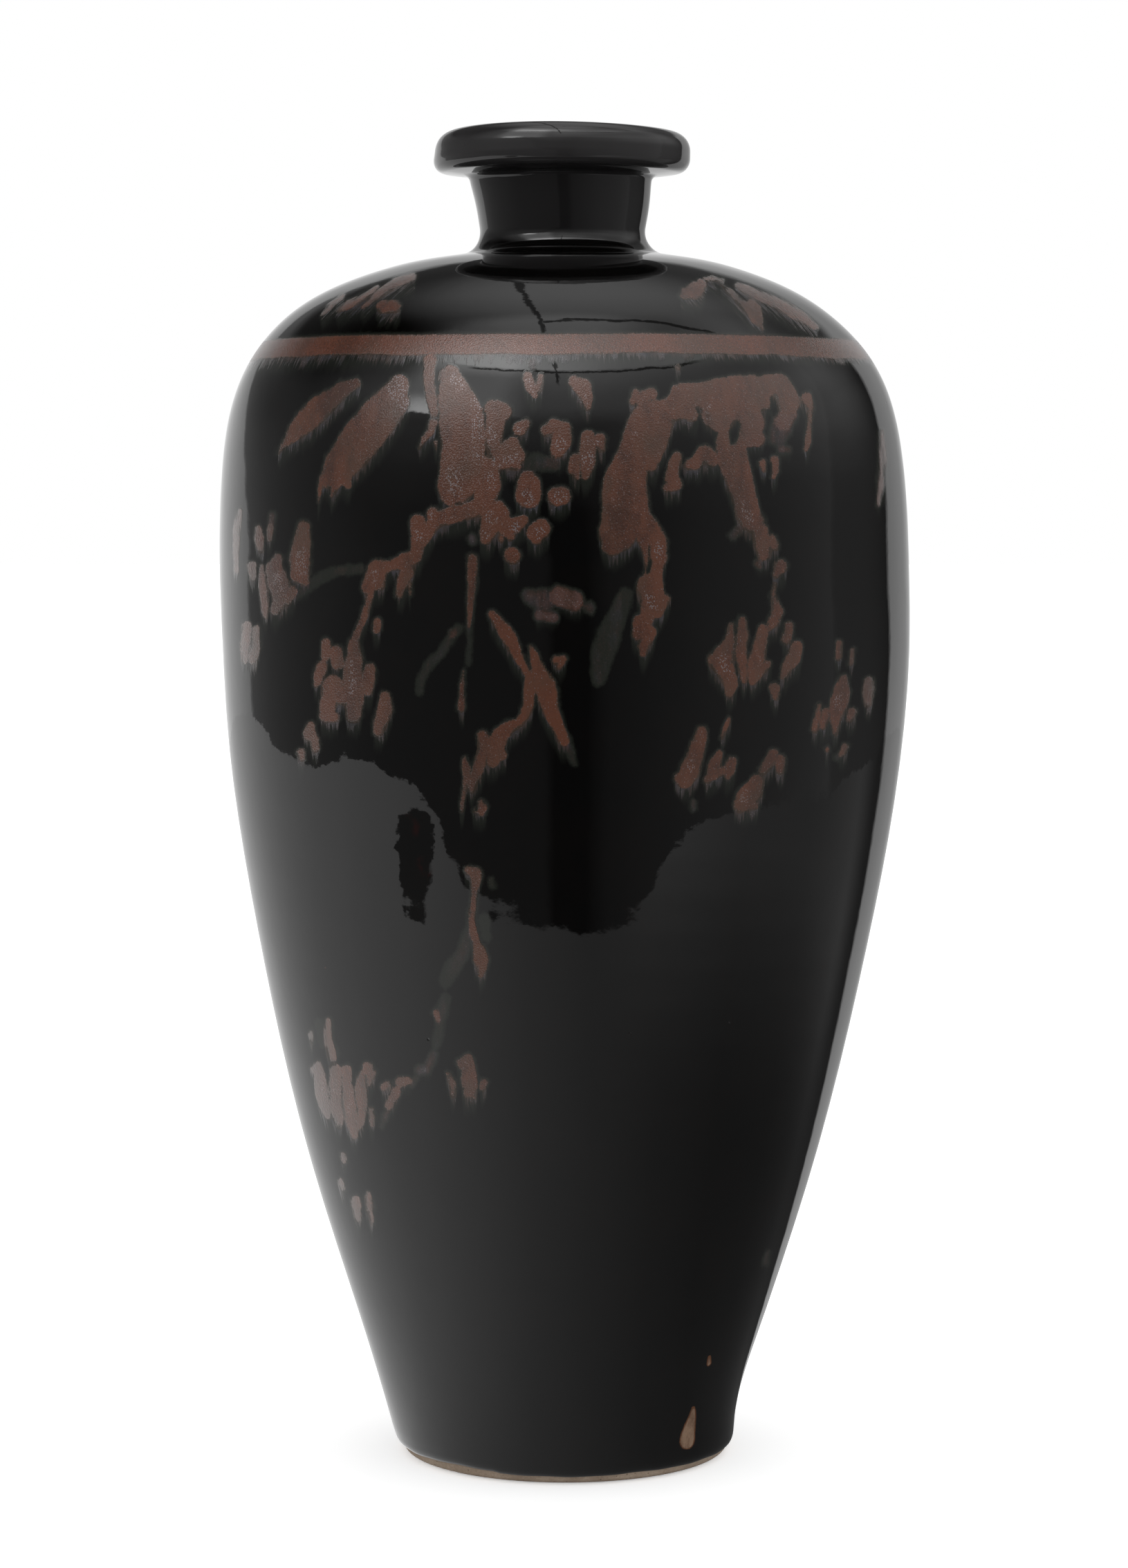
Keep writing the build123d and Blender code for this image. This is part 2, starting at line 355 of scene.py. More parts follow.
# Each stroke is its strength, then x, y and the brush's half width at points along it.
brushwork = [
    # on top of the shoulder, left
    (1, (597, 400, 5), (575, 408, 7), (553, 422, 6), (540, 432, 4), (524, 445, 2)),
    (1, (545, 415, 3), (525, 430, 4), (505, 440, 6), (488, 450, 2)),
    (1, (553, 444, 9), (571, 443, 9)),
    (1, (465, 455, 2), (480, 440, 4), (495, 428, 4)),
    # on top of the shoulder, right
    (1, (992, 424, 9), (1006, 420, 13), (1014, 411, 8)),
    (1, (1015, 405, 3), (1030, 402, 4), (1045, 406, 3)),
    (1, (1044, 413, 2), (1058, 424, 4), (1072, 438, 5), (1080, 445, 6)),
    (1, (1088, 438, 7), (1090, 448, 11), (1094, 460, 9), (1100, 470, 4), (1103, 476, 2)),
    (1, (1066, 413, 4), (1090, 424, 8), (1120, 437, 8), (1145, 450, 9), (1165, 462, 8), (1180, 473, 4)),
    # two leaves
    (1, (515, 554, 7), (498, 562, 11), (480, 575, 14), (462, 590, 17), (445, 607, 17), (430, 622, 13),
     (416, 637, 7), (407, 648, 3), (402, 657, 1)),
    (1, (577, 557, 15), (568, 578, 25), (550, 600, 28), (530, 625, 29), (512, 648, 28), (496, 668, 25),
     (484, 685, 19), (474, 695, 11)),
    (1, (466, 690, 5), (462, 708, 3), (460, 727, 1)),
    (1, (485, 700, 8), (479, 718, 2)),
    (1, (500, 695, 8), (503, 702, 5)),
    # trunk
    (1, (622, 520, 10), (620, 545, 9), (624, 575, 8), (628, 598, 5)),
    (1, (626, 612, 6), (622, 625, 5), (612, 636, 4), (606, 648, 2)),
    (1, (630, 640, 3), (632, 650, 2)),
    (1, (650, 545, 17), (660, 575, 27), (667, 605, 33), (670, 640, 33), (668, 672, 33), (660, 700, 28),
     (652, 715, 16)),
    (1, (700, 680, 22), (705, 700, 20), (700, 730, 15)),
    # blossoms right of the trunk
    (1, (715, 592, 15), (727, 595, 13)),
    (1, (716, 612, 14), (714, 635, 12), (716, 655, 10)),
    (1, (752, 620, 10), (760, 612, 7)),
    (1, (735, 650, 14), (748, 660, 12), (742, 640, 8), (728, 665, 14), (745, 672, 8)),
    (0.35, (760, 680, 12), (775, 668, 10), (800, 672, 10)),
    (1, (764, 700, 17), (764, 716, 19)),
    (1, (805, 718, 14), (813, 717, 13)),
    (1, (762, 545, 8), (768, 560, 8), (774, 572, 4)),
    (1, (782, 545, 5), (778, 562, 6)),
    (0.5, (770, 525, 8), (771, 530, 6)),
    (1, (830, 552, 9), (842, 560, 13), (848, 575, 9), (850, 590, 4)),
    (1, (790, 622, 9), (800, 615, 9), (814, 622, 13), (812, 636, 15), (806, 652, 11)),
    (1, (850, 632, 10), (850, 650, 13), (850, 670, 12), (846, 688, 6)),
    (1, (868, 636, 9), (870, 648, 6)),
    (1, (832, 665, 9), (830, 680, 8), (835, 690, 4)),
    (1, (715, 745, 22), (705, 770, 12), (702, 780, 8)),
    (1, (730, 760, 14), (738, 775, 7)),
    (1, (745, 760, 12), (757, 752, 7)),
    (1, (724, 778, 4), (725, 782, 3)),
    (1, (774, 770, 13), (783, 765, 14), (776, 780, 8)),
    (1, (740, 803, 12), (741, 804, 12)),
    (0.5, (683, 778, 6), (684, 782, 6)),
    # branch down to the left
    (1, (690, 735, 12), (655, 745, 12), (635, 750, 11), (625, 760, 9), (615, 775, 9), (607, 790, 6)),
    (1, (626, 742, 9), (627, 746, 9)),
    (1, (604, 755, 11), (605, 775, 11), (603, 795, 9), (600, 805, 10), (585, 812, 12), (565, 818, 7),
     (548, 822, 14), (540, 835, 14), (533, 850, 10)),
    (1, (590, 825, 10), (582, 840, 8), (578, 860, 5)),
    (1, (592, 845, 3), (593, 860, 1)),
    (1, (545, 825, 14), (548, 845, 9), (535, 840, 10)),
    (1, (535, 860, 5), (532, 875, 4), (527, 890, 5), (520, 905, 5), (515, 920, 5), (512, 935, 6)),
    (1, (545, 900, 6), (544, 910, 6)),
    (0.3, (520, 823, 6), (490, 826, 6), (465, 835, 6), (440, 852, 6), (425, 862, 6)),
    # cluster at the left edge
    (1, (440, 762, 9), (437, 785, 13), (434, 810, 16), (434, 830, 14), (440, 838, 8)),
    (0.6, (394, 745, 4), (391, 765, 5)),
    (1, (391, 765, 5), (389, 780, 4)),
    (1, (374, 765, 5), (375, 780, 8), (378, 795, 5)),
    (1, (378, 820, 4), (380, 850, 7), (383, 875, 6), (384, 892, 3)),
    (1, (402, 808, 8), (397, 825, 14), (404, 845, 16), (406, 865, 13), (398, 882, 8)),
    (1, (420, 855, 9), (412, 868, 9)),
    (1, (364, 818, 7), (366, 835, 6)),
    (1, (347, 740, 4), (342, 765, 6), (340, 800, 5), (342, 825, 4)),
    (1, (357, 905, 7), (355, 930, 8), (354, 955, 5)),
    (1, (370, 910, 6), (369, 935, 8), (366, 955, 6)),
    # second cluster
    (1, (472, 930, 7), (470, 950, 6)),
    (1, (486, 942, 9), (488, 960, 9)),
    (1, (512, 930, 8), (512, 955, 13), (510, 985, 15), (512, 1015, 14), (511, 1035, 11)),
    (1, (535, 968, 9), (531, 985, 11), (533, 1000, 6)),
    (1, (465, 965, 9), (460, 980, 8), (457, 990, 4)),
    (1, (480, 990, 14), (475, 1015, 13), (472, 1035, 10), (484, 1038, 7)),
    (1, (495, 1005, 12), (496, 1008, 12)),
    (1, (449, 1050, 6), (447, 1062, 9), (455, 1070, 7), (456, 1082, 6)),
    (1, (435, 1088, 6), (437, 1097, 4)),
    (1, (557, 1008, 9), (557, 1025, 11), (550, 1045, 10), (547, 1058, 7)),
    (0.3, (662, 910, 6), (650, 925, 5), (637, 945, 5), (620, 960, 5), (610, 980, 5), (606, 1000, 4)),
    (0.6, (655, 915, 6), (654, 918, 5)),
    (1, (683, 808, 8), (682, 840, 7), (679, 880, 4), (678, 905, 2)),
    (0.4, (678, 905, 2), (678, 960, 2)),
    (1, (670, 970, 1), (668, 990, 3), (667, 1010, 5), (667, 1025, 5)),
    # long stroke right of the middle
    (1, (920, 570, 8), (915, 580, 6), (940, 570, 10)),
    (1, (935, 590, 14), (925, 615, 20), (920, 645, 24), (910, 680, 28), (903, 700, 32), (905, 745, 36),
     (893, 770, 28), (885, 788, 16)),
    (1, (925, 745, 14), (935, 765, 20), (945, 785, 20), (948, 805, 17), (945, 825, 13), (942, 845, 15),
     (940, 870, 14), (937, 890, 10), (932, 905, 8)),
    (1, (940, 850, 20), (948, 872, 16), (950, 885, 9), (965, 865, 5)),
    (1, (925, 900, 10), (925, 915, 12), (940, 915, 9), (930, 935, 8), (930, 945, 5)),
    (0.33, (905, 860, 10), (893, 890, 12), (880, 920, 16), (872, 945, 15), (867, 970, 11), (866, 985, 7)),
    # broad patch at the right
    (1, (985, 570, 16), (1010, 572, 18), (1040, 572, 26), (1070, 570, 28), (1100, 568, 26), (1125, 562, 22),
     (1140, 580, 18)),
    (1, (960, 595, 16), (985, 585, 22), (1000, 600, 10)),
    (1, (945, 600, 22), (930, 620, 18)),
    (1, (950, 610, 24), (945, 640, 20), (940, 670, 12)),
    (0.75, (1035, 600, 22), (1060, 610, 24), (1085, 610, 22), (1080, 630, 18), (1095, 635, 12)),
    (0.7, (1135, 600, 18), (1134, 606, 16)),
    (0.5, (1130, 620, 16), (1125, 632, 14)),
    (1, (1165, 575, 8), (1172, 590, 5), (1170, 615, 3), (1168, 640, 4), (1165, 650, 3)),
    (1, (1055, 640, 20), (1060, 665, 22), (1068, 690, 20), (1075, 715, 18), (1080, 740, 18), (1090, 755, 16)),
    (0.5, (1070, 765, 8), (1060, 775, 6)),
    (1, (1098, 765, 12), (1102, 785, 12), (1105, 800, 10)),
    (0.6, (1095, 815, 6), (1098, 820, 4)),
    (1, (1115, 780, 7), (1120, 790, 7)),
    (1, (1128, 820, 11), (1122, 830, 6)),
    (1, (1120, 845, 3), (1118, 860, 5), (1122, 875, 6), (1124, 885, 9), (1118, 900, 8), (1112, 910, 3)),
    (1, (1030, 665, 10), (1020, 655, 12), (1005, 670, 9), (995, 672, 7)),
    (1, (980, 660, 7), (975, 672, 9), (970, 690, 10), (978, 700, 9), (965, 705, 7)),
    (1, (1103, 670, 6), (1105, 680, 3)),
    (1, (1120, 665, 6), (1121, 680, 5), (1118, 690, 3)),
    (0.6, (1130, 650, 6), (1140, 650, 6)),
    (1, (980, 530, 4), (981, 532, 4)),
    # middle
    (0.45, (765, 862, 10), (785, 868, 18)),
    (0.65, (810, 862, 16), (830, 870, 16)),
    (0.4, (850, 878, 8), (852, 880, 8)),
    (0.6, (780, 890, 8), (800, 893, 8)),
    (0.9, (803, 955, 6), (815, 953, 5), (808, 965, 4)),
    (1, (712, 888, 6), (722, 902, 9), (735, 920, 11), (745, 940, 9), (755, 960, 6), (762, 975, 4)),
    (1, (766, 935, 3), (772, 950, 7), (780, 970, 11), (788, 990, 15), (792, 1010, 15), (797, 1030, 11),
     (806, 1050, 9), (815, 1070, 8)),
    (0.45, (815, 1070, 8), (825, 1090, 6), (830, 1105, 3)),
    (1, (766, 975, 6), (765, 1000, 8), (764, 1020, 8), (758, 1035, 7), (750, 1045, 7), (735, 1052, 9),
     (722, 1065, 12), (715, 1085, 14), (712, 1100, 10)),
    (1, (698, 1065, 9), (700, 1085, 10), (692, 1105, 9), (688, 1122, 8), (683, 1135, 6), (682, 1145, 3)),
    (1, (725, 1090, 7), (726, 1092, 7)),
    (1, (672, 1098, 4), (674, 1110, 7), (675, 1122, 5), (672, 1135, 3), (668, 1172, 3)),
    (1, (695, 1160, 4), (697, 1168, 7), (696, 1176, 4), (685, 1172, 3)),
    # clusters at the right
    (1, (1057, 905, 5), (1055, 930, 9), (1045, 950, 16), (1035, 955, 12), (1050, 970, 14), (1057, 990, 10),
     (1055, 1003, 6)),
    (1, (1074, 898, 6), (1074, 920, 9), (1070, 945, 9), (1074, 965, 7), (1076, 985, 4)),
    (1, (1103, 910, 7), (1100, 930, 10), (1095, 950, 12), (1090, 970, 11), (1088, 985, 6), (1110, 960, 6)),
    (1, (1140, 905, 7), (1137, 925, 7)),
    (1, (1152, 935, 8), (1147, 952, 10), (1138, 965, 8), (1132, 978, 5)),
    (1, (1120, 995, 8), (1122, 1008, 5)),
    (1, (1214, 930, 5), (1212, 950, 5)),
    (1, (1232, 940, 4), (1230, 960, 3)),
    (1, (1220, 982, 6), (1217, 1000, 12), (1212, 1020, 13), (1208, 1040, 8), (1208, 1060, 4)),
    (1, (1195, 1030, 8), (1190, 1050, 5)),
    (1, (1185, 1020, 4), (1178, 1055, 5)),
    (1, (1232, 1030, 7), (1228, 1040, 5)),
    (1, (1257, 985, 7), (1256, 1000, 9), (1255, 1018, 5)),
    (1, (1222, 1080, 5), (1217, 1090, 4)),
    (1, (1195, 1083, 3), (1196, 1085, 3)),
    (0.5, (1210, 1095, 3), (1211, 1097, 3)),
    (1, (1015, 1058, 9), (1010, 1075, 11), (1004, 1095, 13), (997, 1115, 15), (990, 1130, 11), (982, 1125, 8)),
    (1, (1040, 1090, 5), (1033, 1105, 10), (1030, 1120, 9), (1022, 1128, 5), (1042, 1115, 7)),
    (1, (1058, 1100, 7), (1054, 1115, 8), (1052, 1125, 4)),
    (1, (1055, 1040, 3), (1048, 1055, 3), (1043, 1068, 2)),
    (1, (1118, 1090, 8), (1110, 1105, 8), (1103, 1115, 6)),
    (1, (1128, 1100, 9), (1128, 1115, 6)),
    (1, (1095, 1130, 10), (1088, 1145, 15), (1078, 1155, 14), (1070, 1165, 10), (1090, 1165, 7)),
    # trail down the lower body
    (1, (677, 1258, 6), (688, 1262, 9), (688, 1275, 7), (686, 1285, 5), (685, 1298, 4), (684, 1308, 4),
     (682, 1320, 5), (682, 1335, 4), (685, 1350, 5), (689, 1362, 5), (693, 1375, 9), (695, 1388, 11),
     (697, 1400, 7), (695, 1412, 3)),
    (0.3, (678, 1350, 6), (668, 1380, 9), (655, 1400, 10), (645, 1418, 9)),
    (0.2, (700, 1330, 6), (703, 1355, 6)),
    (0.3, (645, 1445, 7), (637, 1470, 6), (634, 1490, 5), (631, 1510, 5)),
    (0.5, (626, 1525, 6), (623, 1535, 7), (618, 1548, 6), (606, 1548, 7)),
    (0.5, (600, 1560, 5), (596, 1570, 4)),
    (1, (630, 1465, 4), (633, 1475, 3)),
    (0.8, (580, 1565, 9), (590, 1563, 6)),
    (1, (560, 1570, 7), (556, 1572, 6)),
    (0.8, (572, 1580, 8), (567, 1590, 8), (563, 1600, 7)),
    (0.5, (558, 1612, 5), (552, 1630, 2)),
    (1, (648, 1553, 4), (653, 1562, 5), (656, 1575, 5), (655, 1583, 4)),
    (1, (668, 1538, 8), (677, 1530, 6), (677, 1545, 10), (678, 1560, 12), (680, 1575, 11), (677, 1582, 8),
     (687, 1588, 3)),
    (1, (700, 1565, 5), (698, 1575, 4)),
    # blossoms at the lower left
    (1, (474, 1475, 4), (474, 1490, 5), (475, 1505, 5), (478, 1520, 6), (481, 1532, 5)),
    (0.3, (463, 1480, 6), (468, 1510, 6)),
    (1, (449, 1495, 4), (451, 1508, 2)),
    (0.4, (485, 1520, 3), (486, 1524, 3)),
    (1, (460, 1540, 6), (463, 1560, 9), (466, 1580, 10), (470, 1600, 9), (474, 1615, 5)),
    (1, (452, 1545, 4), (453, 1549, 4)),
    (1, (484, 1548, 9), (484, 1570, 9), (485, 1590, 9), (488, 1610, 9), (491, 1628, 5)),
    (1, (500, 1548, 8), (502, 1565, 8), (503, 1585, 8), (506, 1605, 9), (510, 1625, 9), (513, 1642, 6)),
    (1, (522, 1555, 6), (521, 1575, 9), (523, 1595, 9), (524, 1612, 7), (520, 1630, 5)),
    (1, (532, 1543, 8), (536, 1552, 8), (534, 1568, 4)),
    (1, (536, 1605, 4), (538, 1618, 5), (538, 1628, 3)),
    (1, (496, 1670, 5), (498, 1680, 4)),
    (1, (493, 1708, 5), (496, 1720, 4)),
    (1, (514, 1735, 7), (516, 1750, 7), (519, 1765, 4)),
    (1, (531, 1728, 5), (534, 1745, 6), (537, 1758, 4), (538, 1770, 2)),
    # small marks by themselves
    (0.7, (1275, 625, 4), (1277, 660, 6), (1274, 700, 5), (1270, 730, 3)),
    (0.4, (710, 1272, 3), (711, 1281, 3)),
    (0.5, (1003, 1160, 4), (1003, 1170, 3)),
    (0.6, (1111, 1811, 2), (1107, 1828, 3)),
]

# Where the dark glaze shows through the broad patch
openSpots = [
    (1, (1118, 577, 5), (1120, 592, 7), (1117, 603, 4)),
    (1, (1064, 614, 5), (1061, 628, 7), (1060, 639, 4)),
    (1, (938, 792, 2), (940, 812, 3), (937, 828, 2)),
    (1, (1000, 628, 3), (1008, 640, 4)),
]

# Where the pigment is thick enough to throw silvery crystals; one patch also paints the lamp's highlight
crystalAndHighlightPatches = [
    (1, (690, 580, 10), (690, 620, 10), (690, 660, 10)),
    (0.9, (655, 685, 12), (660, 705, 14)),
    (0.9, (708, 690, 9), (709, 702, 8)),
    (0.8, (708, 748, 11), (712, 750, 9)),
    (0.8, (702, 772, 8), (702, 776, 7)),
    (1, (743, 762, 9), (746, 764, 8)),
    (1, (778, 772, 10), (782, 770, 8)),
    (0.8, (745, 662, 8), (718, 668, 9)),
    (1, (762, 715, 9), (764, 722, 8)),
    (1, (808, 718, 11), (812, 718, 9)),
    (1, (810, 640, 10), (810, 646, 8)),
    (1, (850, 660, 11), (850, 672, 8)),
    (0.7, (848, 640, 6), (868, 640, 5)),
    (0.8, (712, 618, 8), (712, 642, 8)),
    (0.7, (750, 620, 6), (752, 622, 6)),
    (0.8, (764, 550, 6), (772, 570, 4)),
    (0.8, (846, 572, 4), (848, 586, 3)),
    (0.8, (660, 548, 12), (668, 560, 8)),
    # painted highlight over real crystals: on the top of the larger leaf this patch is made full where the
    # lamp's highlight falls
    (1, (572, 556, 16), (592, 592, 13)),
    (0.8, (626, 744, 7), (626, 748, 6)),
    (0.8, (605, 772, 7), (604, 778, 6)),
    (0.9, (436, 800, 9), (436, 825, 9)),
    (0.8, (400, 835, 9), (404, 855, 9)),
    (0.7, (510, 960, 7), (510, 1000, 8)),
    (0.6, (1022, 590, 9), (1022, 610, 9)),
    (0.8, (955, 790, 9), (952, 800, 8)),
    (0.7, (940, 865, 9), (945, 875, 8)),
    (0.6, (915, 622, 8), (918, 628, 7)),
    (0.7, (1045, 950, 9), (1050, 972, 8)),
    (0.6, (1097, 950, 7), (1092, 966, 6)),
    (0.7, (1212, 1010, 8), (1211, 1024, 7)),
    (0.6, (1003, 1095, 8), (997, 1112, 8)),
    (0.6, (1082, 1148, 9), (1076, 1156, 8)),
    (0.5, (485, 1565, 7), (486, 1600, 7)),
    (0.5, (466, 1570, 7), (470, 1595, 6)),
    (0.5, (504, 1580, 6), (507, 1610, 6)),
    (0.6, (1075, 730, 9), (1084, 750, 9)),
    (0.6, (540, 832, 9), (541, 838, 8)),
]

# Bare clay where the glaze missed
glazeMisses = [
    (1, (1003, 2037, 1.5), (1001, 2050, 4), (997, 2065, 7), (994, 2080, 9.5), (993, 2086, 9)),
    (1, (1026, 1962, 0.5), (1025, 1973, 2)),
    (1, (470, 1400, -0.3), (471, 1401, -0.3)),      # a kiln pit
]
redGlints = [
    (0.8, (1001, 2083, 4), (985, 2092, 3)),
    (0.6, (598, 1190, 3), (603, 1202, 5)),
    (0.6, (608, 1246, 4), (618, 1264, 5)),
    (0.5, (585, 1165, 2), (590, 1180, 2)),
]


# In pixels: how far round its strokes each sheet reaches, how wide their soft edge is and how far they run
reaches = {"depth": 12, "bare": 8, "red": 8, "crystal": 6}
softEdge = 3
ironFall = 34


def paintSheet(strokes, reach):  # how deep each pixel lies inside a stroke, and how strong that stroke is
    wide, tall = camera["picture"]
    depth = np.full((tall, wide), -float(reach))
    strength = np.zeros((tall, wide))
    for power, *chain in strokes:
        for (x0, y0, r0), (x1, y1, r1) in zip(chain, chain[1:]):
            pad = max(r0, r1) + reach
            columns = slice(int(max(0, min(x0, x1) - pad)), int(min(wide, max(x0, x1) + pad + 1)))
            rows = slice(int(max(0, min(y0, y1) - pad)), int(min(tall, max(y0, y1) + pad + 1)))
            y, x = np.mgrid[rows, columns].astype(float)
            dx, dy = x1 - x0, y1 - y0
            along = np.clip(((x - x0) * dx + (y - y0) * dy) / max(dx * dx + dy * dy, 1e-6), 0, 1)
            inside = r0 + (r1 - r0) * along - np.hypot(x - x0 - along * dx, y - y0 - along * dy)
            here = power * np.clip(1 + inside / softEdge, 0, 1)
            strength[rows, columns] = np.maximum(strength[rows, columns], here)
            depth[rows, columns] = np.maximum(depth[rows, columns], inside)
    return depth, strength


def runningSheet(depth, strength, fall):  # each stroke's strength, carried down and fading over a fall
    cover = np.clip(depth + 0.5, 0, 1) * strength
    run = np.zeros_like(cover)
    row = np.zeros(cover.shape[1])
    for y in range(len(cover)):
        row = np.maximum(cover[y], row - 1 / fall)
        run[y] = row
    return run


def readSheet(sheet, x, y):  # the sheet's values between its pixels
    tall, wide = sheet.shape
    x, y = np.clip(x, 0, wide - 1.001), np.clip(y, 0, tall - 1.001)
    i, j = x.astype(int), y.astype(int)
    fx, fy = x - i, y - j
    upper = sheet[j, i] * (1 - fx) + sheet[j, i + 1] * fx
    lower = sheet[j + 1, i] * (1 - fx) + sheet[j + 1, i + 1] * fx
    return upper * (1 - fy) + lower * fy


ironDepth, ironStrength = paintSheet(brushwork, reaches["depth"])
ironDepth = np.minimum(ironDepth, -paintSheet(openSpots, reaches["depth"])[0])
crystalDepth, crystalStrength = paintSheet(crystalAndHighlightPatches, reaches["crystal"])
sheets = {
    "depth": ironDepth,
    "strength": ironStrength,
    "run": runningSheet(ironDepth, ironStrength, ironFall),
    "crystal": np.clip(0.5 + crystalDepth / reaches["crystal"], 0, 1) * crystalStrength,
    "bare": paintSheet(glazeMisses, reaches["bare"])[0],
    "red": np.clip(0.5 + paintSheet(redGlints, reaches["red"])[0] / reaches["red"], 0, 1),
}
print("brushwork laid out:", len(brushwork), "strokes")

pixel = 0.2306                          # mm that one pixel spans at the front of the pot
flowRadius = 110                        # mm, the tube that the glaze's runs are drawn on
band = {
    "top": 371.7,
    "bottom": 365.2,
    "lowest": 340,                      # nothing of the band reaches below this
    "fall": 5.8,                        # how far its runs reach, and how much less at the right
    "sway": 2.2,
    "waves": [(0.35, 5, 1), (0.2, 13, 0), (0.15, 29, 2)],
}


def paintedBehind(x, y, z):  # the back carries the same hand's work, turned and a little shifted
    turn = np.arctan2(-x, y) * 1.06 + 0.10 + 0.03 * np.sin(z / 23)
    radius = np.hypot(x, y)
    return np.column_stack([radius * np.sin(turn), -radius * np.cos(turn), z + 3 + 2 * np.sin(z / 17)])


def paintGlaze(piece, places, lengths):
    x, y, z = places.T
    angle = np.arctan2(y, x)
    flow = np.column_stack([flowRadius * np.cos(angle), flowRadius * np.sin(angle), lengths])
    setAttribute(piece, "flow", flow * mm, "FLOAT_VECTOR")

    normals = vectorsOf(piece, "normal")
    nothing = {key: -float(reaches[key]) for key in ("depth", "bare")}
    values = {key: np.full(len(places), nothing.get(key, 0.0)) for key in sheets}
    for side, painted in ((1, places), (-1, paintedBehind(x, y, z))):
        toCamera = np.array(camera["place"]) - painted
        toCamera /= np.linalg.norm(toCamera, axis=1)[:, None]
        facing = (toCamera * normals * [side, side, 1]).sum(1)
        seen = smoothStep(0.02, 0.07, facing) * (painted[:, 1] < 0)
        px, py = picturePlace(painted)
        for key in values:
            if side == 1 or key not in ("bare", "red"):
                least = nothing.get(key, 0.0)
                read = least + (readSheet(sheets[key], px, py) - least) * seen
                values[key] = np.maximum(values[key], read)

    # the band goes all the way round
    wobble = waves(angle, band["waves"])
    top, bottom = band["top"] + 0.3 * wobble, band["bottom"] + 0.8 * wobble
    high = z > band["lowest"]
    inside = np.where(high, np.minimum(top - z, z - bottom), -9)
    fall = band["fall"] - band["sway"] * np.cos(angle)
    below = np.where((z < bottom + 0.5) & high, 1 - (bottom - z) / fall, 0)
    values["depth"] = np.maximum(values["depth"], inside / pixel)
    values["strength"] = np.maximum(values["strength"], smoothStep(-0.6, 0.2, inside))
    values["run"] = np.maximum(values["run"], np.clip(below, 0, 1))

    setAttribute(piece, "ruled", smoothStep(-1.5, -0.5, inside))
    setAttribute(piece, "ironDepth", np.clip(values["depth"], -reaches["depth"], reaches["depth"]) * pixel)
    setAttribute(piece, "ironStrength", values["strength"])
    setAttribute(piece, "ironRun", values["run"])
    setAttribute(piece, "crystal", values["crystal"])
    setAttribute(piece, "bare", values["bare"] * pixel)
    setAttribute(piece, "redGlint", values["red"])


# Materials

class Value:  # a node's output, to reckon with
    def __init__(self, nodes, socket):
        self.nodes, self.socket = nodes, socket

    def __add__(self, other):
        return self.nodes.sum("ADD", self, other)

    def __sub__(self, other):
        return self.nodes.sum("SUBTRACT", self, other)

    def __rsub__(self, other):
        return self.nodes.sum("SUBTRACT", other, self)

    def __mul__(self, other):
        return self.nodes.sum("MULTIPLY", self, other)

    def __truediv__(self, other):
        return self.nodes.sum("DIVIDE", self, other)

    def __abs__(self):
        return self.nodes.sum("ABSOLUTE", self)

    __radd__, __rmul__ = __add__, __mul__


